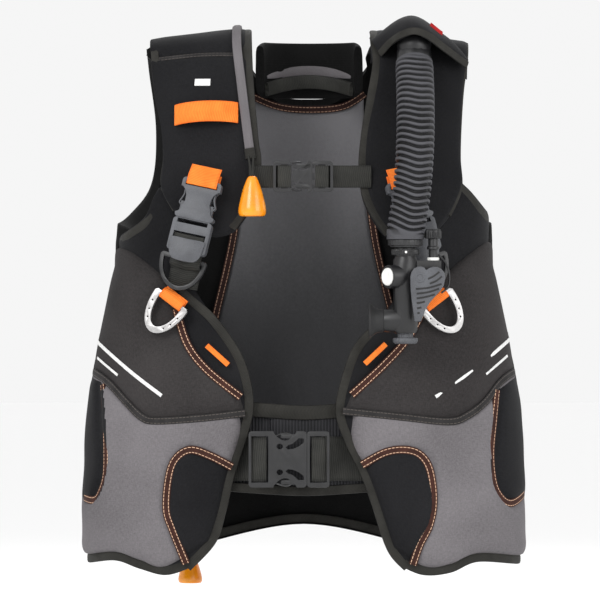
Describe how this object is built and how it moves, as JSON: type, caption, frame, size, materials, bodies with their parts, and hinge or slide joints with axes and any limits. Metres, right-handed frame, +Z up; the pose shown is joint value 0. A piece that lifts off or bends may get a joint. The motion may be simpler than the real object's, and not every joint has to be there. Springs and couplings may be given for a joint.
{
  "type": "buoyancy compensator vest",
  "caption": "Jacket-style scuba buoyancy vest with pockets, buckled straps, D rings, corrugated inflator hose, dump valves, backplate and tank band",
  "frame": {"origin": "on the shoulder line, midway between the shoulders, where the wearer holds the vest up", "axes": "+Z up along the wearer, -Y out of the chest, +X to the wearer's left"},
  "size_m": [0.5069, 0.5311, 0.6496],
  "materials": {
    "black_cloth": "coated woven nylon",
    "dark_grey_cloth": "coated woven nylon",
    "grey_cloth": "coated woven nylon",
    "pad_cloth": "soft padded lining",
    "black_webbing": "woven webbing and elastic",
    "orange_webbing": "woven webbing",
    "grey_plastic": "moulded, fine grain",
    "dark_plastic": "moulded, fine grain",
    "black_plastic": "moulded",
    "white_plastic": "moulded",
    "orange_plastic": "smooth, soft",
    "steel": "stainless, tumbled",
    "black_rubber": "moulded rubber"
  },
  "bodies": {
    "vest": {"lobe_right": "black_cloth", "pocket_upper_right": "dark_grey_cloth", "pocket_lower_right": "grey_cloth", "lobe_left": "black_cloth", "pocket_upper_left": "dark_grey_cloth", "pocket_lower_left": "grey_cloth", "back_panel": "black_cloth", "back_pad": "pad_cloth", "collar": "black_cloth", "carry_handle": "black_webbing", "shoulder_panel_right": "black_cloth", "shoulder_panel_left": "black_cloth", "waist_belt_right": "black_webbing", "waist_belt_left": "black_webbing", "waist_buckle_socket": "dark_plastic", "waist_strap_right": "black_webbing", "waist_strap_left": "black_webbing", "chest_buckle_socket": "dark_plastic", "chest_strap_right": "black_webbing", "chest_strap_left": "black_webbing", "steel_ring_tab_right": "orange_webbing", "steel_ring_tab_left": "orange_webbing", "shoulder_buckle_socket_right": "grey_plastic", "shoulder_stub_right": "orange_webbing", "shoulder_strap_right": "black_webbing", "shoulder_buckle_socket_left": "grey_plastic", "shoulder_stub_left": "orange_webbing", "shoulder_strap_left": "black_webbing", "utility_loop": "orange_webbing", "pull_sleeve": "grey_plastic", "shoulder_dump_valve": "black_plastic", "shoulder_dump_cord": "black_webbing", "lower_dump_valve": "black_plastic", "lower_dump_cord": "black_webbing", "backplate": "black_plastic", "tank_seat_upper": "black_rubber", "tank_seat_lower": "black_rubber", "tank_band": "black_webbing", "cam_buckle_frame": "steel", "inflator_hose": "black_rubber", "hose_elbow": "black_plastic", "hose_cover": "black_cloth"},
    "waist_tongue": {"waist_buckle_tongue": "dark_plastic"},
    "chest_tongue": {"chest_buckle_tongue": "dark_plastic"},
    "shoulder_tongue_right": {"shoulder_buckle_tongue_right": "grey_plastic"},
    "shoulder_tongue_left": {"shoulder_buckle_tongue_left": "grey_plastic"},
    "steel_ring_body_right": {"steel_ring_right": "steel"},
    "steel_ring_body_left": {"steel_ring_left": "steel"},
    "strap_ring_body_right": {"strap_ring_right": "dark_plastic"},
    "strap_ring_body_left": {"strap_ring_left": "dark_plastic"},
    "inflator": {"inflator_body": "black_plastic", "hose_clamp": "dark_plastic", "mouthpiece": "black_rubber", "inflator_side_plate": "grey_plastic", "quick_coupler": "black_plastic"},
    "inflate_button_body": {"inflate_button": "white_plastic"},
    "deflate_button_body": {"deflate_button": "grey_plastic"},
    "shoulder_pull": {"shoulder_dump_toggle": "orange_plastic"},
    "lower_pull": {"lower_dump_toggle": "orange_plastic"},
    "cam_lever": {"cam_buckle_lever": "black_plastic"}
  },
  "joints": [
    {"name": "waist_release", "type": "slide", "parent": "vest", "child": "waist_tongue", "axis": [1, 0, 0], "range_m": [0, 0.032], "deforming": ["waist_strap_left"]},
    {"name": "chest_release", "type": "slide", "parent": "vest", "child": "chest_tongue", "axis": [1, 0, 0], "range_m": [0, 0.022], "deforming": ["chest_strap_left"]},
    {"name": "shoulder_release_right", "type": "slide", "parent": "vest", "child": "shoulder_tongue_right", "axis": [-0.2366, -0.1277, -0.9632], "range_m": [0, 0.022], "deforming": ["shoulder_strap_right"]},
    {"name": "steel_ring_right_swing", "type": "hinge", "parent": "vest", "child": "steel_ring_body_right", "pos_m": [-0.1485, -0.1244, -0.2916], "axis": [-0.7678, 0.266, 0.5829], "range_deg": [0, 110]},
    {"name": "strap_ring_right_swing", "type": "hinge", "parent": "vest", "child": "strap_ring_body_right", "pos_m": [-0.1345, -0.12698, -0.2448], "axis": [-0.9271, 0.2623, 0.2676], "range_deg": [0, 22]},
    {"name": "shoulder_release_left", "type": "slide", "parent": "vest", "child": "shoulder_tongue_left", "axis": [0.2366, -0.1277, -0.9632], "range_m": [0, 0.022], "deforming": ["shoulder_strap_left"]},
    {"name": "steel_ring_left_swing", "type": "hinge", "parent": "vest", "child": "steel_ring_body_left", "pos_m": [0.1485, -0.1244, -0.2916], "axis": [-0.7678, -0.266, -0.5829], "range_deg": [0, 110]},
    {"name": "strap_ring_left_swing", "type": "hinge", "parent": "vest", "child": "strap_ring_body_left", "pos_m": [0.1345, -0.12698, -0.2448], "axis": [-0.9271, -0.2623, -0.2676], "range_deg": [0, 22]},
    {"name": "inflator_swing", "type": "hinge", "parent": "vest", "child": "inflator", "pos_m": [0.124, -0.157, -0.122], "axis": [-1, 0, 0], "range_deg": [0, 50], "deforming": ["inflator_hose"]},
    {"name": "inflate_press", "type": "slide", "parent": "inflator", "child": "inflate_button_body", "axis": [0.8191, 0.5736, 0], "range_m": [0, 0.0035], "stiffness_N_per_m": 600, "springref_m": -0.002},
    {"name": "deflate_press", "type": "slide", "parent": "inflator", "child": "deflate_button_body", "axis": [0, 0, 1], "range_m": [0, 0.004], "stiffness_N_per_m": 600, "springref_m": -0.002},
    {"name": "shoulder_dump_pull", "type": "slide", "parent": "vest", "child": "shoulder_pull", "axis": [0, 0, -1], "range_m": [0, 0.015], "stiffness_N_per_m": 400, "springref_m": -0.003, "deforming": ["shoulder_dump_cord"]},
    {"name": "lower_dump_pull", "type": "slide", "parent": "vest", "child": "lower_pull", "axis": [0, 0, -1], "range_m": [0, 0.015], "stiffness_N_per_m": 400, "springref_m": -0.003, "deforming": ["lower_dump_cord"]},
    {"name": "cam_lever_swing", "type": "hinge", "parent": "vest", "child": "cam_lever", "pos_m": [-0.08121, 0.29423, -0.33], "axis": [0, 0, 1], "range_deg": [0, 110]}
  ]
}
